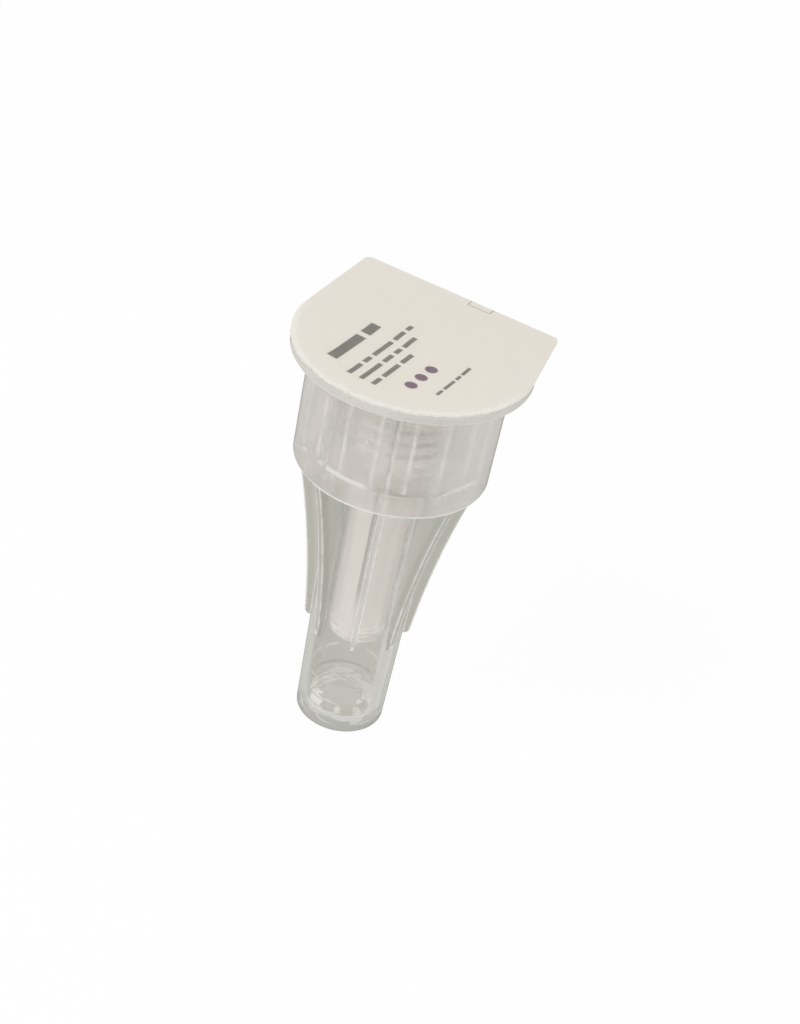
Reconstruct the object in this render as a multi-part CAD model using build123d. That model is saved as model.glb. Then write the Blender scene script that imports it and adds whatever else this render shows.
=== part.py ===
from build123d import *
from math import radians, tan
import os

# A pen needle sealed in its outer cap. It stands on the cap's narrow closed end.
# Millimetres, +Z up. The origin is the centre of the foot's underside, and the seal's tab points along +Y.

# Overall
overall_height = 34.0          # from the foot's underside to the top of the seal
seal_thickness = 0.15
cap_height = overall_height - seal_thickness

# Outer cap, narrow tube
foot_radius = 3.5              # outside, at the foot
tube_wall = 0.62
tube_draft = 1.3               # degrees, outside and inside alike
base_thickness = 1.0
foot_edge = 0.35               # rounding where the foot turns up into the tube
foot_recess_radius = 2.3
foot_recess_depth = 0.3
gate_radius = 0.45             # moulding gate in the middle of the recess
gate_height = 0.18
bore_step = 0.06               # the bore narrows this much at each of two rings near the closed end
upper_ring_height = 4.1
lower_ring_height = 2.3

# Outer cap, wide section
ledge_height = 23.9            # underside of the step
ledge_thickness = 1.4
wide_radius = 7.4              # outside, just above the step
wide_wall = 0.8
wide_draft = 0.6               # degrees
ledge_edge = 0.35
flange_width = 1.5             # how far the flange stands out from the wall
flange_thickness = 0.7
flange_edge = 0.12
flange_root = 0.25             # rounding between the flange and the wall

# Fins round the narrow tube
fin_count = 8
fin_phase = 24.6               # degrees from +X to the first fin
fin_thickness = 0.52
fin_end_height = 8.45          # where the fins run out on the tube
fin_inset = 0.35               # from the wide section's outside to the fins' edge, under the step
fin_depth = 0.5                # how far the fins stand out of the tube, at the lower end
fin_hollow = 0.42              # how far the outer edge bows in from a straight line
fin_corner = 0.8               # rounding of the lower corner
fin_taper = 1.9                # the lower end narrows over this height
fin_tip = 0.14                 # to this thickness

# Ribs inside the wide section, in line with the fins, that turn the hub
key_width = 0.5
key_depth = 0.36
key_below_mouth = 2.3

# Needle hub
hub_clearance = 0.25           # between the hub's ribs and the wide section's wall
hub_below_mouth = 0.65
hub_rib_count = 16
hub_rib_width = 0.5
hub_rib_height = 0.6
hub_rib_lead = 0.3             # slope at both ends of a rib
socket_radius = 4.75           # root of the pen's thread
hub_floor = 1.1
socket_lead = 0.35
nipple_radius = 1.5            # raised centre of the socket's floor
nipple_height = 0.9
collar_clearance = 0.25        # between the hub's collar and the mouth of the tube
collar_length = 1.2
boss_radius = 1.95             # at its root
boss_length = 5.4
boss_draft = 1.4               # degrees
well_radius = 0.85             # adhesive well in the end of the boss
well_depth = 1.3

# Cannula
needle_length = 8.0            # from the end of the boss to the front tip
rear_length = 4.8              # from the socket's floor to the rear tip
cannula_radius = 0.13
cannula_bore = 0.07
bevel_angle = 14.0             # degrees between the ground face and the axis
cannula_clearance = 0.03

# Adhesive bead
bead_clearance = 0.01
bead_crown = 0.3               # how far the drop stands out of the well

# Inner shield
shield_fit = 0.05              # running clearance on the root of the boss
shield_wall = 0.42
shield_length = 16.0
shield_draft = 0.7             # degrees
shield_gap = 0.3               # between its open end and the collar
shield_end_rounding = 1.0
shield_lip = 0.3               # how far the lip stands out at the open end
shield_lip_height = 0.7

# Peel seal
seal_overhang = 0.08           # how much larger than the flange the seal's round part is
seal_shift_left = 0.08         # the seal lies a little off the flange's centre
seal_shift_back = 0.1
tab_past_flange = 0.22         # from the flange to the tab's straight edge
tab_left = 9.4                 # from the axis to the tab's left corner
tab_right = 7.35               # and to its right corner
tab_corner = 0.5

# Places that follow from the sizes above
ledge_top = ledge_height + ledge_thickness
flange_bottom = cap_height - flange_thickness
fin_top_radius = wide_radius - fin_inset
hub_top = cap_height - hub_below_mouth
hub_rib_radius = wide_radius - wide_wall - hub_clearance
hub_radius = hub_rib_radius - hub_rib_height
socket_floor = ledge_top + hub_floor
collar_bottom = ledge_top - collar_length
boss_end = collar_bottom - boss_length
shield_top = collar_bottom - shield_gap
shield_bottom = shield_top - shield_length


def tube_outside(height):
    return foot_radius + height * tan(radians(tube_draft))


def tube_inside(height):
    return tube_outside(height) - tube_wall


def wide_outside(height):
    return wide_radius + (height - ledge_height) * tan(radians(wide_draft))


def wide_inside(height):
    return wide_outside(height) - wide_wall


def flange_radius():
    return wide_outside(flange_bottom) + flange_width


def fin_end_radius():
    return tube_outside(fin_end_height) + fin_depth


def boss_outside(height):
    return boss_radius - (collar_bottom - height) * tan(radians(boss_draft))


def shield_inside(height):
    return boss_radius + shield_fit - (shield_top - height) * tan(radians(shield_draft))


# A closed outline from (across, up, rounding) corners, drawn upright in the XZ plane
def upright_face(corners):
    points = [(across, up) for across, up, rounding in corners]
    roundings = [rounding for across, up, rounding in corners]
    outline = FilletPolyline(*points, radius=roundings, close=True)
    return Plane.XZ * make_face(outline)


def turned(corners):
    return revolve(upright_face(corners), Axis.Z)


# An upright outline given half its thickness to each side of the XZ plane
def blade(face, thickness):
    return extrude(face, thickness / 2, both=True)


def around(piece, count, phase):
    return [Rot(0, 0, phase + 360 * turn / count) * piece for turn in range(count)]


def cap_shell():
    base_top = base_thickness
    crown_top = base_thickness + foot_recess_depth
    return turned([
        (0, foot_recess_depth - gate_height, 0),
        (gate_radius, foot_recess_depth - gate_height, 0),
        (gate_radius, foot_recess_depth, 0),
        (foot_recess_radius, foot_recess_depth, 0),
        (foot_recess_radius, 0, 0),
        (foot_radius, 0, foot_edge),
        (tube_outside(ledge_height), ledge_height, 0.2),
        (wide_outside(ledge_height), ledge_height, ledge_edge),
        (wide_outside(flange_bottom), flange_bottom, flange_root),
        (flange_radius(), flange_bottom, flange_edge),
        (flange_radius(), cap_height, flange_edge),
        (wide_inside(cap_height), cap_height, flange_edge),
        (wide_inside(ledge_top), ledge_top, 0.3),
        (tube_inside(ledge_top), ledge_top, 0.3),
        (tube_inside(upper_ring_height), upper_ring_height, 0),
        (tube_inside(upper_ring_height) - bore_step, upper_ring_height, 0),
        (tube_inside(lower_ring_height) - bore_step, lower_ring_height, 0),
        (tube_inside(lower_ring_height) - 2 * bore_step, lower_ring_height, 0),
        (tube_inside(base_top) - 2 * bore_step, base_top, 0.45),
        (foot_recess_radius - 0.1, base_top, 0),
        (foot_recess_radius - 0.4, crown_top, 0),
        (0, crown_top, 0),
    ])


def fin():
    top = ledge_height + ledge_thickness / 2
    edge = SagittaArc((fin_end_radius(), fin_end_height), (fin_top_radius, ledge_height), fin_hollow)
    outline = Polyline(
        (fin_top_radius, ledge_height),
        (fin_top_radius - ledge_edge, top),
        (tube_outside(top) - tube_wall / 2, top),
        (tube_outside(fin_end_height) - tube_wall / 2, fin_end_height),
        (fin_end_radius(), fin_end_height),
    )
    face = make_face([edge, outline])
    corner = face.vertices().sort_by_distance((fin_end_radius(), fin_end_height))[0]
    whole = blade(Plane.XZ * fillet(corner, fin_corner), fin_thickness)
    return whole & fin_front(top)


# The fin's outline as seen from outside, drawn through it: straight, then narrowing to its lower end
def fin_front(top):
    side = fin_thickness / 2
    outline = Polyline(
        (-side, top),
        (side, top),
        (side, fin_end_height + fin_taper),
        (fin_tip / 2, fin_end_height),
        (-fin_tip / 2, fin_end_height),
        (-side, fin_end_height + fin_taper),
        close=True,
    )
    return extrude(Plane.YZ * make_face(outline), wide_radius)


def cap_key():
    top = cap_height - key_below_mouth
    wall = wide_inside(ledge_top) + wide_wall / 2
    tip = wide_inside(ledge_top) - key_depth
    face = upright_face([
        (tip, ledge_top - ledge_thickness / 2, 0),
        (wall, ledge_top - ledge_thickness / 2, 0),
        (wall, top + key_depth, 0),
        (wide_inside(top), top + key_depth, 0),
        (tip, top, 0),
    ])
    return blade(face, key_width)


def outer_cap():
    fins = around(fin(), fin_count, fin_phase)
    keys = around(cap_key(), fin_count, fin_phase)
    return cap_shell() + fins + keys


def hub_rib():
    inside = hub_radius - hub_rib_height / 2
    face = upright_face([
        (inside, ledge_top, 0),
        (hub_rib_radius - hub_rib_lead, ledge_top, 0),
        (hub_rib_radius, ledge_top + hub_rib_lead, 0),
        (hub_rib_radius, hub_top - hub_rib_lead, 0),
        (hub_rib_radius - hub_rib_lead, hub_top, 0),
        (inside, hub_top, 0),
    ])
    return blade(face, hub_rib_width)


def needle_hub():
    bore = cannula_radius + cannula_clearance
    collar_radius = tube_inside(collar_bottom) - collar_clearance
    body = turned([
        (bore, boss_end + well_depth, 0),
        (well_radius, boss_end, 0),
        (boss_outside(boss_end), boss_end, 0.25),
        (boss_radius, collar_bottom, 0.15),
        (collar_radius, collar_bottom, 0.3),
        (collar_radius, ledge_top, 0),
        (hub_radius, ledge_top, 0.2),
        (hub_radius, hub_top, 0.15),
        (socket_radius + socket_lead, hub_top, 0),
        (socket_radius, hub_top - socket_lead, 0),
        (socket_radius, socket_floor, 0.3),
        (nipple_radius, socket_floor, 0.2),
        (nipple_radius * 0.7, socket_floor + nipple_height, 0.2),
        (bore, socket_floor + nipple_height, 0),
    ])
    half_pitch = 180 / hub_rib_count
    return body + around(hub_rib(), hub_rib_count, fin_phase + half_pitch)


# The ground point: what a slanting plane through the very tip leaves of the tube
def bevel_waste(tip_height, direction):
    size = 4 * cannula_radius / tan(radians(bevel_angle))
    waste = Pos(0, 0, direction * size / 2) * Box(size, size, size)
    slant = Rot(0, 90 - bevel_angle, 0) if direction > 0 else Rot(0, -(90 - bevel_angle), 0)
    heel = tip_height - direction * cannula_radius / tan(radians(bevel_angle))
    return Pos(0, 0, heel) * slant * waste


def cannula():
    front_tip = boss_end - needle_length
    rear_tip = socket_floor + rear_length
    wall = turned([
        (cannula_bore, front_tip, 0),
        (cannula_radius, front_tip, 0),
        (cannula_radius, rear_tip, 0),
        (cannula_bore, rear_tip, 0),
    ])
    return wall - bevel_waste(front_tip, -1) - bevel_waste(rear_tip, 1)


def adhesive_bead():
    inside = cannula_radius + bead_clearance
    slope = (well_radius - cannula_radius - cannula_clearance) / well_depth
    outside = well_radius - bead_clearance
    end = boss_end + (outside - inside) / slope - bead_clearance
    side = Line((inside, end), (outside, boss_end))
    crown = SagittaArc((outside, boss_end), (inside, boss_end - bead_crown), bead_crown / 4)
    back = Line((inside, boss_end - bead_crown), (inside, end))
    return revolve(Plane.XZ * make_face([side, crown, back]), Axis.Z)


def inner_shield():
    floor = shield_bottom + shield_wall * 1.4
    lip_radius = shield_inside(shield_top) + shield_wall + shield_lip
    lip_bottom = shield_top - shield_lip_height
    return turned([
        (0, shield_bottom, 0),
        (shield_inside(shield_bottom) + shield_wall, shield_bottom, shield_end_rounding),
        (shield_inside(lip_bottom) + shield_wall, lip_bottom, 0.15),
        (lip_radius, lip_bottom, 0.15),
        (lip_radius, shield_top, 0.15),
        (shield_inside(shield_top), shield_top, 0),
        (shield_inside(floor), floor, shield_end_rounding - shield_wall),
        (0, floor, 0),
    ])


# A disc the size of the flange, drawn out to a squared tab that is cut off straight
def peel_seal():
    disc = Pos(-seal_shift_left, seal_shift_back) * Edge.make_circle(flange_radius() + seal_overhang)
    inset = flange_radius() + tab_past_flange - tab_corner
    left = Pos(tab_corner - tab_left, inset) * Edge.make_circle(tab_corner)
    right = Pos(tab_right - tab_corner, inset) * Edge.make_circle(tab_corner)
    outline = make_hull([disc, left, right])
    return Pos(0, 0, cap_height) * extrude(outline, seal_thickness)


def main():
    os.makedirs("parts", exist_ok=True)
    pieces = {
        "outer_cap": outer_cap(),
        "peel_seal": peel_seal(),
        "needle_hub": needle_hub(),
        "cannula": cannula(),
        "adhesive_bead": adhesive_bead(),
        "inner_shield": inner_shield(),
    }
    for name, shape in pieces.items():
        export_step(shape, f"parts/{name}.step")
        box = shape.bounding_box()
        print(name, round(shape.volume, 3), box.min, box.max)


if __name__ == "__main__":
    main()
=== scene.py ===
import math
import bmesh
import bpy
from mathutils import Matrix, Vector


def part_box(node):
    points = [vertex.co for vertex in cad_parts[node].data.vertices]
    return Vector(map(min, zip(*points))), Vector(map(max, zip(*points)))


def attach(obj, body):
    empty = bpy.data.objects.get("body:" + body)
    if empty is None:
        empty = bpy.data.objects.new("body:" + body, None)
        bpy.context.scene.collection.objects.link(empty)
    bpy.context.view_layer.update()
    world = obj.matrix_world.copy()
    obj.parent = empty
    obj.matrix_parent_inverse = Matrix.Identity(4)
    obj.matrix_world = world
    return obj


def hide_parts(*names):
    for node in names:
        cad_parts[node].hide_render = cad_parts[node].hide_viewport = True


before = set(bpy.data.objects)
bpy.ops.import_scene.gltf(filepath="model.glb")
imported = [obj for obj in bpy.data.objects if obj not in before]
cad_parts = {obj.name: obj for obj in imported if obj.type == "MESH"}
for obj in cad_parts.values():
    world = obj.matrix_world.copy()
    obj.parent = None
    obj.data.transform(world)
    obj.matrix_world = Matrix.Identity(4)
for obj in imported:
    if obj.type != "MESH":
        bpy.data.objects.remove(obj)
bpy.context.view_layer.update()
print("frame loaded:", sorted(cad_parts))

mm = 0.001  # one millimetre in metres
scene = bpy.context.scene


# Wraps a shader socket, so that maths on it reads as Python
class Sock:
    def __init__(self, tree, socket):
        self.tree = tree
        self.socket = socket

    def math(self, operation, other=None, swap=False):
        pair = [self, other]
        if swap:
            pair.reverse()
        values = {i: v for i, v in enumerate(pair) if v is not None}
        return self.tree.add("ShaderNodeMath", {"operation": operation}, values)

    def __add__(self, other):
        return self.math("ADD", other)

    def __radd__(self, other):
        return self.math("ADD", other, True)

    def __sub__(self, other):
        return self.math("SUBTRACT", other)

    def __rsub__(self, other):
        return self.math("SUBTRACT", other, True)

    def __mul__(self, other):
        return self.math("MULTIPLY", other)

    def __abs__(self):
        return self.math("ABSOLUTE")

    def larger(self, other):
        return self.math("MAXIMUM", other)


# A node tree, with one method that makes any node
class Tree:
    def __init__(self, owner):
        owner.use_nodes = True
        self.nodes = owner.node_tree.nodes
        self.links = owner.node_tree.links
        self.shader = self.nodes.get("Principled BSDF")

    def add(self, kind, settings=None, values=None, out=0):
        node = self.nodes.new(kind)
        for key, value in (settings or {}).items():
            setattr(node, key, value)
        for key, value in (values or {}).items():
            self.feed(node.inputs[key], value)
        return Sock(self, node.outputs[out])

    def feed(self, target, value):
        if isinstance(value, Sock):
            self.links.new(value.socket, target)
        else:
            target.default_value = value

    def set(self, **values):
        for key, value in values.items():
            self.feed(self.shader.inputs[key.replace("_", " ")], value)

    def place(self):
        return self.add("ShaderNodeTexCoord", out=3)

    # The three parts of a vector
    def split(self, vector):
        parts = self.add("ShaderNodeSeparateXYZ", None, {0: vector})
        return [Sock(self, out) for out in parts.socket.node.outputs]

    def axes(self):
        return self.split(self.place())

    def flat(self, x, y):
        return self.add("ShaderNodeCombineXYZ", None, {"X": x, "Y": y})

    def length(self, vector):
        return self.add("ShaderNodeVectorMath", {"operation": "LENGTH"}, {0: vector}, 1)

    def noise(self, size, detail, stretch=(1, 1, 1)):
        moved = self.add("ShaderNodeMapping", None, {"Vector": self.place(), "Scale": stretch})
        values = {"Vector": moved, "Scale": 1 / size, "Detail": detail}
        return self.add("ShaderNodeTexNoise", None, values)

    def mix(self, share, first, second):
        return self.add("ShaderNodeMix", {"data_type": "RGBA"}, {0: share, 6: first, 7: second}, 2)

    def bump(self, height, strength, distance):
        values = {"Height": height, "Strength": strength, "Distance": distance}
        return self.add("ShaderNodeBump", None, values)

    def blend(self, share, first, second):
        return self.add("ShaderNodeMixShader", None, {0: share, 1: first, 2: second})

    def show(self, shader):
        self.feed(self.nodes["Material Output"].inputs["Surface"], shader)

    # 0 where the surface faces the viewer, rising to 1 where it turns away
    def turnedAway(self, blend):
        return self.add("ShaderNodeLayerWeight", None, {"Blend": blend}, 1)

    # 1 where a value is within half of the middle, fading to 0 over the soft edge
    def band(self, value, middle, half, soft):
        values = {"Value": abs(value - middle), "From Min": half + soft, "From Max": half}
        return self.add("ShaderNodeMapRange", None, values)

    # 1 where a value is over a level, 0 where it is less by more than the soft edge
    def above(self, value, level, soft):
        values = {"Value": value, "From Min": level - soft, "From Max": level}
        return self.add("ShaderNodeMapRange", None, values)

    # 1 where a value is under a level, 0 where it is more by over the soft edge
    def under(self, value, level, soft):
        return self.above(0 - value, -level, soft)

    # 1 for the light that comes straight from a lamp or by way of a matt surface
    def lampRay(self):
        path = self.nodes.new("ShaderNodeLightPath")
        lamp, matt = [Sock(self, path.outputs[name]) for name in ("Is Shadow Ray", "Is Diffuse Ray")]
        return lamp.larger(matt)

    # 1 where the camera, a reflection or a view through plastic meets the surface
    def seenRay(self):
        path = self.nodes.new("ShaderNodeLightPath")
        camera, glossy, through = [
            Sock(self, path.outputs[name])
            for name in ("Is Camera Ray", "Is Glossy Ray", "Is Transmission Ray")
        ]
        return camera.larger(glossy).larger(through)


def newMaterial(name):
    material = bpy.data.materials.new(name)
    return material, Tree(material)


# Camera, fitted to the outline: its focal length and distance are a plausible choice among several
camera = {
    "target": (0, 0, 17),      # millimetres
    "distance": 168.3,
    "azimuth": 23.4,           # degrees
    "elevation": 35.0,
    "roll": 12.0,
    "focalPixels": 2200,       # for a frame 1024 pixels high
    "frameHeight": 1024,
    "offsetPixels": (25.2, 24.1),
}


def addCamera():
    a, e = math.radians(camera["azimuth"]), math.radians(camera["elevation"])
    back = Vector((math.sin(a) * math.cos(e), -math.cos(a) * math.cos(e), math.sin(e)))
    data = bpy.data.cameras.new("camera")
    data.sensor_width = 36
    data.lens = camera["focalPixels"] * data.sensor_width / camera["frameHeight"]
    data.shift_x = camera["offsetPixels"][0] / camera["frameHeight"]
    data.shift_y = camera["offsetPixels"][1] / camera["frameHeight"]
    data.clip_start = 0.005
    thing = bpy.data.objects.new("camera", data)
    thing.location = (Vector(camera["target"]) + back * camera["distance"]) * mm
    turn = (-back).to_track_quat("-Z", "Y").to_matrix().to_4x4()
    rolled = turn @ Matrix.Rotation(math.radians(camera["roll"]), 4, "Z")
    thing.rotation_mode = "QUATERNION"
    thing.rotation_quaternion = rolled.to_quaternion()
    scene.collection.objects.link(thing)
    scene.camera = thing


addCamera()
print("camera placed")


# Floor and light
studio = {
    "floorSize": 3.0,          # metres
    "floorColour": (0.93, 0.93, 0.93, 1),
    "floorGlow": 0.92,         # how far the floor is lifted to white where it is seen
    "skyStrength": 0.75,
    "bounces": 40,             # light passes many walls of clear plastic
    "mattBounces": 12,
    "lampTarget": (0, 0, 0.02),
}
lamps = {
    "keyLamp": {"power": 0.33, "place": (-0.13, -0.22, 0.33), "size": 0.10},
    "fillLamp": {"power": 0.05, "place": (0.28, -0.04, 0.20), "size": 0.08},
    "backLamp": {"power": 0.12, "place": (-0.12, 0.28, 0.30), "size": 0.03},
}


def addFloor():
    mesh = bpy.data.meshes.new("floor")
    made = bmesh.new()
    bmesh.ops.create_grid(made, x_segments=1, y_segments=1, size=studio["floorSize"] / 2)
    made.to_mesh(mesh)
    made.free()
    floor = bpy.data.objects.new("floor", mesh)
    scene.collection.objects.link(floor)
    material, tree = newMaterial("paleFloor")
    tree.set(Base_Color=studio["floorColour"], Roughness=0.9, Specular_IOR_Level=0.0)
    glow = tree.add("ShaderNodeEmission", None, {"Color": (1, 1, 1, 1)})
    share = tree.seenRay() * studio["floorGlow"]
    lit = Sock(tree, tree.shader.outputs[0])
    tree.show(tree.blend(share, lit, glow))
    mesh.materials.append(material)


def addLamp(name, power, place, size):
    data = bpy.data.lights.new(name, "AREA")
    data.energy = power
    data.size = size
    thing = bpy.data.objects.new(name, data)
    thing.location = place
    aim = Vector(studio["lampTarget"]) - Vector(place)
    thing.rotation_euler = aim.to_track_quat("-Z", "Y").to_euler()
    scene.collection.objects.link(thing)


def addWorld():
    world = bpy.data.worlds.new("studio")
    tree = Tree(world)
    sky = tree.nodes["Background"]
    sky.inputs["Color"].default_value = (1, 1, 1, 1)
    lift = tree.seenRay() * (1 - studio["skyStrength"])
    tree.feed(sky.inputs["Strength"], studio["skyStrength"] + lift)
    scene.world = world
    scene.view_settings.view_transform = "Standard"
    scene.cycles.max_bounces = studio["bounces"]
    scene.cycles.transmission_bounces = studio["bounces"]
    scene.cycles.transparent_max_bounces = studio["bounces"]
    scene.cycles.glossy_bounces = studio["bounces"]
    scene.cycles.diffuse_bounces = studio["mattBounces"]


addFloor()
addWorld()
for name, lamp in lamps.items():
    addLamp(name, lamp["power"], lamp["place"], lamp["size"])
print("floor and light placed")


# Where a spot of a surface lies round the needle's axis, in millimetres
class Place:
    def __init__(self, tree):
        x, y, z = [axis * (1 / mm) for axis in tree.axes()]
        self.tree = tree
        self.flat = tree.flat(x, y)
        self.radius = tree.length(self.flat)
        self.angle = y.math("ARCTAN2", x)
        self.height = z

    # How far to the side of the nearest of several upright blades
    def across(self, count, phase):
        half = math.pi / count
        limits = {0: self.angle - math.radians(phase), 1: half, 2: -half}
        wrapped = self.tree.add("ShaderNodeMath", {"operation": "WRAP"}, limits)
        return abs(wrapped.math("SINE") * self.radius)


# Moulded plastics, one dictionary for each
capLook = {
    "tint": (0.90, 0.893, 0.86, 1),
    "milk": (0.79, 0.765, 0.725, 1),
    "milky": 0.12,                         # share of milky plastic at the outside
    "thick": 0.38,                         # the same for the wide section
    "grazing": 0.2,                        # more where the wall turns away
    "inner": 0.80,                         # share of grey haze on the wall's inner side
    "roughness": 0.03,
}
hubLook = {
    "tint": (1, 1, 0.99, 1),
    "milk": (0.88, 0.865, 0.84, 1),
    "milky": 0.30,
    "grazing": 0.3,
    "roughness": 0.04,
}
shieldLook = {
    "tint": (1, 1, 0.99, 1),
    "milk": (0.96, 0.90, 0.875, 1),
    "milky": 0.64,
    "grazing": 0.0,
    "roughness": 0.03,
}
beadLook = {
    "tint": (1, 1, 1, 1),
    "milk": (0.85, 0.85, 0.85, 1),
    "milky": 0.1,
    "grazing": 0.1,
    "roughness": 0.04,
}
# painted shade: the thread's milk is dark grey, so that it shows as dark lines in the hub
threadLook = {
    "tint": (0.9, 0.9, 0.88, 1),
    "milk": (0.32, 0.31, 0.29, 1),
    "milky": 0.7,
    "grazing": 0.1,
    "roughness": 0.05,
}
# near white, for painted highlights
paintedHighlight = (0.95, 0.94, 0.915, 1)
# grey haze inside the cap's wall, and painted shade at the shield's outline
hazeAndShadeGrey = (0.48, 0.47, 0.43, 1)
limbGrey = (0.47, 0.47, 0.425, 1)
# for painted reflection stripes
paintedReflection = (0.76, 0.75, 0.71, 1)
footGrey = (0.43, 0.43, 0.405, 1)
finGrey = (0.43, 0.43, 0.38, 1)
blush = (0.84, 0.765, 0.74, 1)
# dark grey, for painted shade
paintedShade = (0.33, 0.33, 0.30, 1)
finLight = (0.70, 0.69, 0.65, 1)
# for painted light on the flange, where the seal shades it
flangePaintedLight = (0.69, 0.68, 0.64, 1)
edgeOlive = (0.50, 0.50, 0.44, 1)
plastic = {
    "bend": 1.12,              # index, well below polypropylene's 1.49 and chosen for looks
    "coatBend": 1.49,
    "coatRoughness": 0.03,
    "back": 0.3,               # share of the milk's light that goes on through it
    "lampPass": 0.95,          # share of lamp light that the walls let by
    "clear": (0.99, 0.99, 0.985, 1),
}
hubRibs = 16

# The dark line that stands for the needle, painted on the shield beside the middle fin
needleLine = {
    "side": 75,                # degrees
    "half": 0.07,              # millimetres
    "soft": 0.10,
    "bottom": 13.6,
    "fade": 2.4,
}

# Sizes of the cap that the masks follow, in millimetres
capLines = {
    "fins": 8,
    "phase": 24.6,             # degrees to the first fin
    "finHalf": 0.22,
    "finFoot": (4.19, 8.45),   # radius and height of a fin's outer edge, at its lower end
    "finHead": (7.05, 23.9),
    "finBow": 1.68,
    "ledge": 24.02,
    "innerCorner": 25.52,
    "cornerRadius": 6.55,
    "ribCrest": 6.24,          # radius
    "flange": 33.2,
    "wideFrom": 23.92,
    "tubeFoot": 3.5,           # radius
    "tubeDraft": 1.3,          # degrees
    "wallHalf": 0.31,
    "wideStep": 3.2,           # how far the wide section's wall stands outside the tube's
    "upperRing": 4.1,
    "lowerRing": 2.35,
    "line": 0.035,
    "soft": 0.04,
}


# Strokes of light round the axis: noise drawn out along circles
def strokes(place, long, fine, level, soft):
    tree = place.tree
    unit = tree.add("ShaderNodeVectorMath", {"operation": "NORMALIZE"}, {0: place.flat})
    x, y = tree.split(unit)[:2]
    drawn = {"X": x * long, "Y": y * long, "Z": (place.radius + place.height) * fine + 5.3}
    vector = tree.add("ShaderNodeCombineXYZ", None, drawn)
    settings = {"Vector": vector, "Scale": 1.0, "Detail": 1.0, "Distortion": 0.7}
    return tree.above(tree.add("ShaderNodeTexNoise", None, settings), level, soft)
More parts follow.
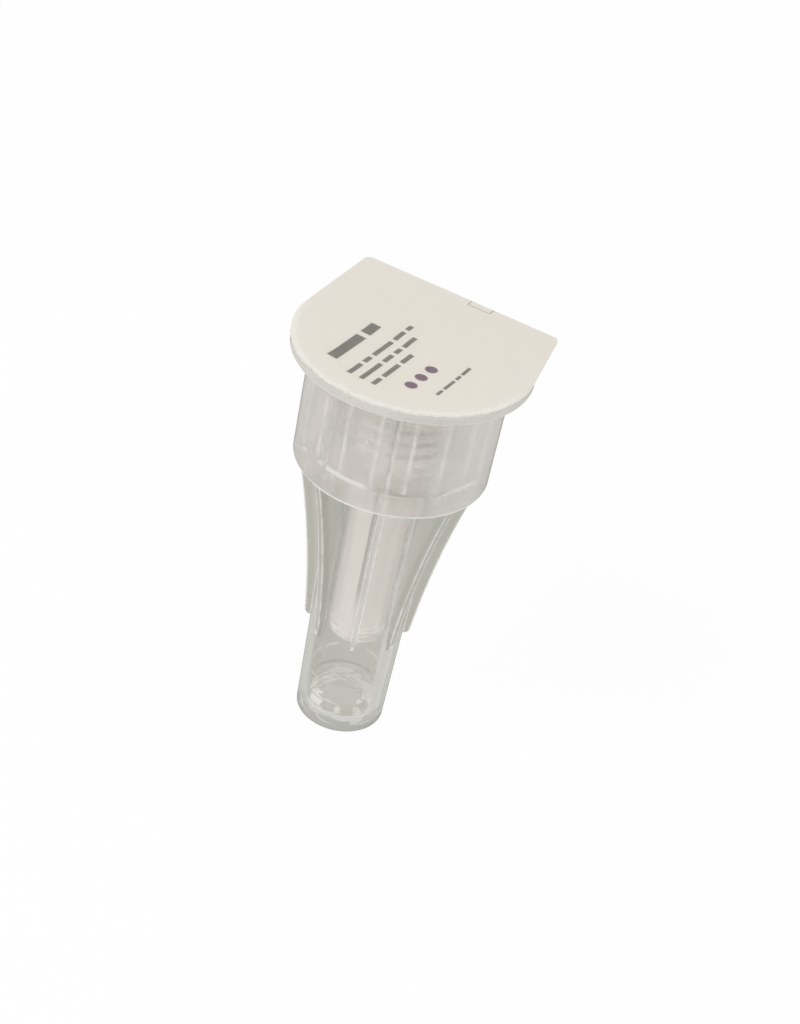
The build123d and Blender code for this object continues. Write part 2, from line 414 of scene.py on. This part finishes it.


# Each of these gives how much milkier a spot is, and masks with the colour of the haze, painted highlight
# or painted shade they add
def capMasks(tree):
    place = Place(tree)
    k = capLines
    soft = k["soft"]
    (footRadius, footHeight), (headRadius, headHeight) = k["finFoot"], k["finHead"]
    along = (place.height - footHeight) * (1 / (headHeight - footHeight))
    crest = footRadius + along * (headRadius - footRadius) - along * (1 - along) * k["finBow"]
    depth = crest - place.radius
    across = place.across(k["fins"], k["phase"])
    below = tree.under(place.height, headHeight, soft)
    thick = tree.above(place.height, k["wideFrom"], 0.12)
    tube = place.height * math.tan(math.radians(k["tubeDraft"])) + k["tubeFoot"]
    uneven = tree.above(tree.noise(1.2 * mm, 2.0), 0.6, 0.3)

    # fins: painted shade on their sides and in an olive band near the crest, a lighter painted band
    # further in, and painted highlight lines along the crest's edges and at the lower end
    onCrest = tree.under(depth, 0.08, soft)
    blade = tree.band(across, 0.0, 0.3, soft)
    fins = blade * tree.above(place.radius - tube, 0.1, 0.1) * below
    finBand = fins * tree.band(depth, 1.3, 0.5, 0.3)
    finEdge = fins * tree.band(depth, 0.4, 0.25, 0.2) * tree.above(place.height, 9.6, 0.6)
    finSide = fins * (1 - onCrest) * 0.75
    finLine = tree.band(across, k["finHalf"], k["line"], soft) * onCrest * below
    finEnd = blade * tree.band(place.height, footHeight, 0.6, 0.4) * onCrest

    # painted highlight lines along the step and the flange, stronger and weaker in turn round the axis
    wave = (place.angle * 4 + math.radians(20)).math("COSINE")
    wave = wave + (tree.noise(1.5 * mm, 1.0) - 0.5) * 0.8
    ledgeLine = tree.band(place.height, k["ledge"], 0.12, 0.12) * tree.above(place.radius, 7.0, 0.1)
    ledgeLine = ledgeLine * (uneven * 0.35 + 0.5 + wave * 0.12)
    flangeLine = tree.band(place.height, k["flange"], 0.05, 0.05) * tree.above(place.radius, 8.8, 0.1)
    lines = (finLine * (uneven * 0.4 + 0.08)).larger(finEnd * 0.6)
    lines = lines.larger(ledgeLine).larger(flangeLine * 0.4)

    # the corner above the step and the ribs, as seen from behind: painted highlight arcs and rib lines,
    # and painted shade in dark arcs between them
    atCorner = tree.band(place.radius, k["cornerRadius"], 0.25, 0.05)
    corner = tree.band(place.height, k["innerCorner"], 0.26, 0.10) * atCorner
    cornerArcs = corner * tree.above(wave, 0.55, 0.5)
    darkArcs = corner * tree.under(wave, -0.3, 0.5) * tree.band(place.height, k["innerCorner"], 0.05, 0.08)
    ribCrest = tree.band(across, 0.0, 0.10, 0.08) * tree.band(place.radius, k["ribCrest"], 0.05, 0.05)
    ribLines = ribCrest * tree.above(place.height, 25.3, 0.1) * (uneven * 0.4 + 0.15)
    behind = [(darkArcs * 0.6, paintedShade), (cornerArcs.larger(ribLines), paintedHighlight)]

    # the wall's inner side, with painted highlight strokes on its floor, stronger on the side towards the
    # camera, painted highlight strokes low on the outer side, a painted highlight ring and a painted dark
    # ring
    wallMiddle = tube - k["wallHalf"] + tree.above(place.height, 24.6, 0.1) * k["wideStep"]
    inner = tree.above(wallMiddle - place.radius, 0.1, 0.05) * tree.above(place.height, 0.9, 0.1)
    onFloor = inner * tree.under(place.height, 1.8, 0.4) * tree.above(place.radius, 1.7, 0.4)
    frontSide = tree.above((place.angle + 1.15).math("COSINE"), 0.3, 0.8) * 0.6 + 0.4
    lines = lines.larger(strokes(place, 1.9, 2.6, 0.54, 0.08) * onFloor * frontSide * 0.8)
    lowBand = tree.band(place.height, 1.15, 0.2, 0.3) * (1 - inner)
    lines = lines.larger(strokes(place, 1.6, 1.2, 0.57, 0.12) * lowBand * 0.35)
    lines = lines.larger(tree.band(place.height, k["upperRing"], 0.05, 0.12) * inner * uneven * 0.5)
    darkRing = tree.band(place.height, k["lowerRing"], 0.04, 0.12) * inner * 0.5

    # haze, darker towards the outline, with painted shade on the outline itself; painted reflection
    # stripes on two opposite sides, painted light on the flange, a darker foot, blush and streak noise
    facing = tree.turnedAway(0.5)
    limb = tree.above(facing - thick * 0.11, 0.55, 0.13) * 0.7
    outline = tree.above(facing, 0.90, 0.06) * 0.5
    turned = (place.angle * 2 + math.radians(34)).math("COSINE")
    turned = turned + (tree.noise(2.5 * mm, 1.0) - 0.5) * 0.12
    narrow = tree.above(turned, 0.94, 0.07) * tree.under(place.height, 23, 3) * 0.65
    reflectionStripe = narrow.larger(tree.above(turned, 0.92, 0.45) * thick * 0.45) * (1 - fins) * (1 - inner)
    # painted light: a lighter haze on the flange under the seal
    flange = tree.above(place.height, 33.15, 0.1) * tree.above(place.radius, 8.3, 0.3)
    base = tree.under(place.height, 1.1, 1.2) * (1 - inner) * 0.85
    blushed = tree.above(tree.noise(3.5 * mm, 1.0), 0.62, 0.25) * 0.2 * thick
    milkShift = (tree.noise(1.3 * mm, 1.0, (1, 1, 0.05)) - 0.5) * 0.25
    # painted light and shade: the wide section turns milkier and clearer four times round the axis
    more = thick * (wave * 0.12 + capLook["thick"] - capLook["milky"]) + fins * 0.3 + milkShift
    layers = [
        (limb, limbGrey),
        (reflectionStripe, paintedReflection),
        (finSide, finGrey),
        (inner * capLook["inner"], hazeAndShadeGrey),
        (base, footGrey),
        (finBand * 0.3, finLight),
        (finEdge * 0.3, edgeOlive),
        (flange * 0.7, flangePaintedLight),
        (blushed * (1 - inner), blush),
        (darkRing.larger(outline), paintedShade),
        (lines, paintedHighlight),
    ]
    return more, layers, behind


def hubMasks(tree):
    place = Place(tree)
    across = place.across(hubRibs, capLines["phase"] + 180 / hubRibs)
    uneven = tree.above(tree.noise(1.5 * mm, 1.0), 0.6, 0.3)
    # painted highlight lines along the hub's ribs
    lines = tree.band(across, 0.0, 0.10, 0.10) * tree.above(place.radius, 6.1, 0.1)
    return 0.0, [(lines * (uneven * 0.6 + 0.2), paintedHighlight)], []


def shieldMasks(tree):
    place = Place(tree)
    # painted highlight strokes round the shield's rounded end
    arcs = strokes(place, 1.2, 2.2, 0.55, 0.08) * tree.under(place.height, 9.2, 0.8)
    # painted shade, darker towards the shield's outline
    limb = tree.above(tree.turnedAway(0.5), 0.74, 0.22)
    # painted light and shade: the milk rises and falls three times round the shield, lighter left of the
    # side towards the camera and darker right of it, with fine upright streak lines
    milkShift = (place.angle * 3 + 4.97).math("COSINE") * 0.2
    milkShift = milkShift + (tree.noise(1.1 * mm, 1.0, (1, 1, 0.04)) - 0.5) * 0.4
    turned = place.angle + math.radians(needleLine["side"])
    facingOut = tree.above(turned.math("COSINE"), 0.2, 0.1)
    side = turned.math("SINE") * place.radius
    needle = tree.band(side, 0.0, needleLine["half"], needleLine["soft"]) * facingOut
    needle = needle * tree.above(place.height, needleLine["bottom"], needleLine["fade"])
    return milkShift, [(limb * 0.5, hazeAndShadeGrey), (needle * 0.75, paintedShade), (arcs * 0.6, paintedHighlight)], []


# The thread catches the light at three places
def threadMasks(tree):
    place = Place(tree)
    turned = (place.angle * 3 + math.radians(258)).math("COSINE")
    return 0.0, [(tree.above(turned, 0.8, 0.15) * 0.9, paintedHighlight)], []


def makePlastic(name, look, masks=None):
    material, tree = newMaterial(name)
    tree.set(
        Base_Color=look["tint"],
        Roughness=look["roughness"],
        IOR=plastic["bend"],
        Transmission_Weight=1.0,
        Coat_Weight=1.0,
        Coat_Roughness=plastic["coatRoughness"],
        Coat_IOR=plastic["coatBend"],
    )
    glass = Sock(tree, tree.shader.outputs[0])
    front = tree.add("ShaderNodeBsdfDiffuse", None, {"Color": look["milk"]})
    back = tree.add("ShaderNodeBsdfTranslucent", None, {"Color": look["milk"]})
    milk = tree.blend(plastic["back"], front, back)
    outside = 1 - tree.add("ShaderNodeNewGeometry", None, None, 6)
    facing = tree.turnedAway(0.35)
    more, layers, behind = masks(tree) if masks else (0.0, [], [])
    share = facing * facing * look["grazing"] + look["milky"] + more
    surface = tree.blend(outside * share, glass, milk)
    for side, hazes in ((outside, layers), (1 - outside, behind)):
        for mask, colour in hazes:
            haze = tree.add("ShaderNodeBsdfDiffuse", None, {"Color": colour})
            surface = tree.blend(side * mask, surface, haze)
    clear = tree.add("ShaderNodeBsdfTransparent", None, {"Color": plastic["clear"]})
    tree.show(tree.blend(tree.lampRay() * plastic["lampPass"], surface, clear))
    return material


def makeSteel():
    material, tree = newMaterial("drawnSteel")
    lines = tree.noise(0.08 * mm, 2.0, (1, 1, 0.05))
    tree.set(Base_Color=(0.05, 0.05, 0.052, 1), Metallic=1.0, Roughness=0.2 + lines * 0.15)
    return material


def dress(node, material):
    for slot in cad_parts[node].material_slots:
        slot.link = "DATA"
        slot.material = material


dress("outer_cap", makePlastic("capPlastic", capLook, capMasks))
dress("needle_hub", makePlastic("hubPlastic", hubLook, hubMasks))
dress("inner_shield", makePlastic("shieldPlastic", shieldLook, shieldMasks))
dress("adhesive_bead", makePlastic("clearAdhesive", beadLook))
dress("cannula", makeSteel())
print("plastics and steel set")


def newPiece(name, made, material, body):
    mesh = bpy.data.meshes.new(name)
    made.to_mesh(mesh)
    made.free()
    mesh.materials.append(material)
    for face in mesh.polygons:
        face.use_smooth = True
    piece = bpy.data.objects.new(name, mesh)
    scene.collection.objects.link(piece)
    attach(piece, body)
    return piece


# Thread in the hub's socket
thread = {
    "root": 4.74,              # millimetres, just inside the socket's wall
    "depth": 0.36,
    "pitch": 1.0,
    "width": 0.26,
    "crest": 0.08,
    "bottom": 26.8,            # height of the first turn
    "turns": 3.0,
    "steps": 72,               # in each turn
}


def addThread():
    made = bmesh.new()
    half, crest = thread["width"] / 2, thread["crest"] / 2
    outline = [
        (thread["root"], -half),
        (thread["root"] - thread["depth"], -crest),
        (thread["root"] - thread["depth"], crest),
        (thread["root"], half),
    ]
    corners = [made.verts.new((across * mm, 0, (thread["bottom"] + up) * mm)) for across, up in outline]
    face = made.faces.new(corners)
    count = round(thread["turns"] * thread["steps"])
    swept = bmesh.ops.spin(
        made,
        geom=list(face.edges),
        cent=(0, 0, 0),
        axis=(0, 0, 1),
        dvec=(0, 0, thread["pitch"] * mm / thread["steps"]),
        angle=math.tau * thread["turns"],
        steps=count,
    )
    lastEdges = [item for item in swept["geom_last"] if isinstance(item, bmesh.types.BMEdge)]
    bmesh.ops.contextual_create(made, geom=lastEdges)
    bmesh.ops.remove_doubles(made, verts=made.verts, dist=1e-7)
    bmesh.ops.recalc_face_normals(made, faces=made.faces)
    material = makePlastic("threadPlastic", threadLook, threadMasks)
    newPiece("hubThread", made, material, "sealed_cap")


addThread()
print("thread made")


# Peel seal: a disc with a squared tab, welded to the flange and dished over the mouth
sealLow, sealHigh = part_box("peel_seal")
seal = {
    "radius": 9.077,           # millimetres, of the round part
    "centre": (-0.08, 0.1),
    "corner": 0.5,
    "tabLeft": 9.4,
    "tabRight": 7.35,
    "tabEdge": sealHigh.y / mm,
    "top": sealHigh.z / mm,
    "thickness": (sealHigh.z - sealLow.z) / mm,
    "around": 480,
    "rings": 44,
    "mouth": 6.7,              # radius of the cap's mouth under the paper
    "dish": 0.16,              # how far the paper sinks over the mouth
    "warp": 0.02,              # how uneven the dish is
    "weldRise": 0.03,
    "weldPast": 0.35,          # from the mouth to the weld's middle
    "weldWidth": 0.18,
    "cutNoise": 0.09,          # how uneven the die-cut edge is
    "sharp": 0.7,              # radians, from which an edge is shaded sharp
}
cutWaves = [                   # count round the seal, phase and size
    (17, 1.3, 0.5),
    (41, 0.4, 0.35),
    (73, 2.0, 0.3),
    (118, 0.0, 0.3),
    (157, 1.1, 0.25),
]
paperLook = {
    # near and far make a painted shade across the paper
    "near": (0.892, 0.858, 0.795, 1),
    "far": (0.865, 0.835, 0.768, 1),
    # for the painted highlight on the near edge
    "edge": (0.95, 0.935, 0.885, 1),
    # for the painted light on the cut side
    "side": (0.95, 0.94, 0.91, 1),
    "roughness": 0.55,
    "through": 0.3,            # share of light let through
}


# The tab's two corners and the disc, as circles: their hull is the outline
def outlineReach(angle):
    c = seal["corner"]
    circles = [
        (seal["centre"], seal["radius"]),
        ((c - seal["tabLeft"], seal["tabEdge"] - c), c),
        ((seal["tabRight"] - c, seal["tabEdge"] - c), c),
    ]
    reach = math.inf
    for tick in range(720):
        side = math.radians(tick / 2)
        ahead = math.cos(angle - side)
        if ahead > 0.1:
            held = max(x * math.cos(side) + y * math.sin(side) + r for (x, y), r in circles)
            reach = min(reach, held / ahead)
    return reach


def cutEdge(angle):
    near = max(0.0, -math.sin(angle))
    wave = sum(math.sin(count * angle + phase) * size for count, phase, size in cutWaves)
    return seal["cutNoise"] * (wave - 1) * near


def paperHeight(distance, angle):
    inside = max(0.0, 1 - (distance / seal["mouth"]) ** 2)
    height = -seal["dish"] * math.sqrt(inside)
    fromWeld = (distance - seal["mouth"] - seal["weldPast"]) / seal["weldWidth"]
    height += seal["weldRise"] * math.exp(-fromWeld ** 2)
    height += seal["warp"] * math.sin(3 * angle + 0.6) * inside
    return height


def addSeal():
    made = bmesh.new()
    spoke = [made.verts.new((ring / seal["rings"], 0, 0)) for ring in range(seal["rings"] + 1)]
    edges = [made.edges.new(pair) for pair in zip(spoke, spoke[1:])]
    bmesh.ops.spin(
        made,
        geom=spoke + edges,
        cent=(0, 0, 0),
        axis=(0, 0, 1),
        angle=math.tau,
        steps=seal["around"],
        use_merge=True,
    )
    bmesh.ops.remove_doubles(made, verts=made.verts, dist=1e-6)
    reaches = {}
    for vert in made.verts:
        share = vert.co.length
        angle = math.atan2(vert.co.y, vert.co.x)
        key = round(math.degrees(angle) * 100)
        if key not in reaches:
            reaches[key] = outlineReach(angle)
        distance = share * (reaches[key] + cutEdge(angle) * share ** 6)
        height = seal["top"] + paperHeight(distance, angle)
        vert.co = Vector((distance * math.cos(angle), distance * math.sin(angle), height)) * mm
    bmesh.ops.recalc_face_normals(made, faces=made.faces)
    if sum(face.normal.z for face in made.faces) < 0:
        bmesh.ops.reverse_faces(made, faces=made.faces)
    made.normal_update()
    bmesh.ops.solidify(made, geom=made.faces, thickness=seal["thickness"] * mm)
    for edge in made.edges:
        edge.smooth = edge.calc_face_angle(0.0) < seal["sharp"]
    heights = [vert.co.z / mm for vert in made.verts]
    print("seal from", round(min(heights), 3), "to", round(max(heights), 3), "mm")
    piece = newPiece("peelSeal", made, makePaper(), "sealed_cap")
    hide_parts("peel_seal")


# Plain printed bars in rows that run towards the tab, and three dots, all in millimetres
sealPrint = {
    "rows": [
        {"across": -3.7, "start": -5.6, "thick": 0.8, "bars": [4.2, 1.6], "gap": 0.6},
        {"across": -1.7, "start": -6.6, "thick": 0.34, "bars": [1.8, 0.9, 2.6, 1.4, 0.7], "gap": 0.45},
        {"across": -0.7, "start": -6.6, "thick": 0.34, "bars": [2.9, 1.2, 0.8, 1.7], "gap": 0.45},
        {"across": 0.3, "start": -6.6, "thick": 0.34, "bars": [1.1, 2.2, 1.5], "gap": 0.45},
        {"across": 4.3, "start": -4.4, "thick": 0.22, "bars": [0.8, 1.5, 0.6, 1.2], "gap": 0.3},
    ],
    "dots": [(2.3, -4.6), (2.3, -3.1), (2.3, -1.6)],
    "dotRadius": 0.45,
    "mark": {"middle": (0.75, 8.9), "half": (0.95, 0.38), "line": 0.06, "soft": 0.04},
    "soft": 0.05,
    "grey": (0.12, 0.115, 0.105, 1),
    "plum": (0.12, 0.045, 0.12, 1),
}


# 1 on every bar, 0 beside them
def barMask(tree, x, y):
    soft = sealPrint["soft"]
    mask = None
    for row in sealPrint["rows"]:
        start = row["start"]
        ends = None
        for length in row["bars"]:
            bar = tree.band(y, start + length / 2, length / 2, soft)
            ends = ends.larger(bar) if ends else bar
            start += length + row["gap"]
        line = ends * tree.band(x, row["across"], row["thick"] / 2, soft)
        mask = mask.larger(line) if mask else line
    return mask


def dotMask(tree, x, y):
    mask = None
    for across, up in sealPrint["dots"]:
        away = tree.length(tree.flat(x - across, y - up))
        dot = tree.band(away, 0.0, sealPrint["dotRadius"], sealPrint["soft"])
        mask = mask.larger(dot) if mask else dot
    return mask


# The outline of a small rectangle, cut by the tab's edge
def markMask(tree, x, y):
    mark = sealPrint["mark"]
    (midX, midY), (halfX, halfY) = mark["middle"], mark["half"]
    line, soft = mark["line"], mark["soft"]
    outer = tree.band(x, midX, halfX, soft) * tree.band(y, midY, halfY, soft)
    inner = tree.band(x, midX, halfX - line, soft) * tree.band(y, midY, halfY - line, soft)
    return (outer - inner).larger(0.0)


def makePaper():
    material, tree = newMaterial("coatedPaper")
    fibres = tree.noise(0.22 * mm, 4.0)
    clouds = tree.noise(5 * mm, 2.0) - 0.5
    x, y = [axis * (1 / mm) for axis in tree.axes()[:2]]
    upright = tree.split(tree.add("ShaderNodeNewGeometry", None, None, 3))[2]
    ink = tree.above(tree.noise(0.16 * mm, 3.0), 0.42, 0.25) * 0.14 + 0.82
    ink = ink * tree.above(upright, 0.8, 0.2)
    # painted shade: the paper darkens towards its far side, with random clouds
    paper = tree.mix(tree.above(y, 10.0, 14.0) + clouds * 0.4, paperLook["near"], paperLook["far"])
    away = tree.length(tree.flat(x - seal["centre"][0], y - seal["centre"][1]))
    # painted highlight: a lighter rim along the near part of the edge
    nearRimHighlight = tree.above(away + tree.noise(0.7 * mm, 2.0) * 0.8, 9.1, 0.15) * tree.under(y, -2.5, 3.0)
    paper = tree.mix(nearRimHighlight * 0.9, paper, paperLook["edge"])
    # painted light: the cut side of the paper is made near white, lifting the shade on it
    cutSide = tree.under(upright, 0.4, 0.3) * tree.above(upright, -0.4, 0.2)
    paper = tree.mix(cutSide, paper, paperLook["side"])
    paper = tree.mix(barMask(tree, x, y) * ink, paper, sealPrint["grey"])
    paper = tree.mix(markMask(tree, x, y) * ink, paper, sealPrint["grey"])
    paper = tree.mix(dotMask(tree, x, y) * ink, paper, sealPrint["plum"])
    tree.set(
        Base_Color=paper,
        Roughness=paperLook["roughness"],
        Normal=tree.bump(fibres, 0.1, 0.02 * mm),
    )
    lit = Sock(tree, tree.shader.outputs[0])
    through = tree.add("ShaderNodeBsdfTranslucent", None, {"Color": paperLook["near"]})
    tree.show(tree.blend(paperLook["through"], lit, through))
    return material


addSeal()
print("seal made")
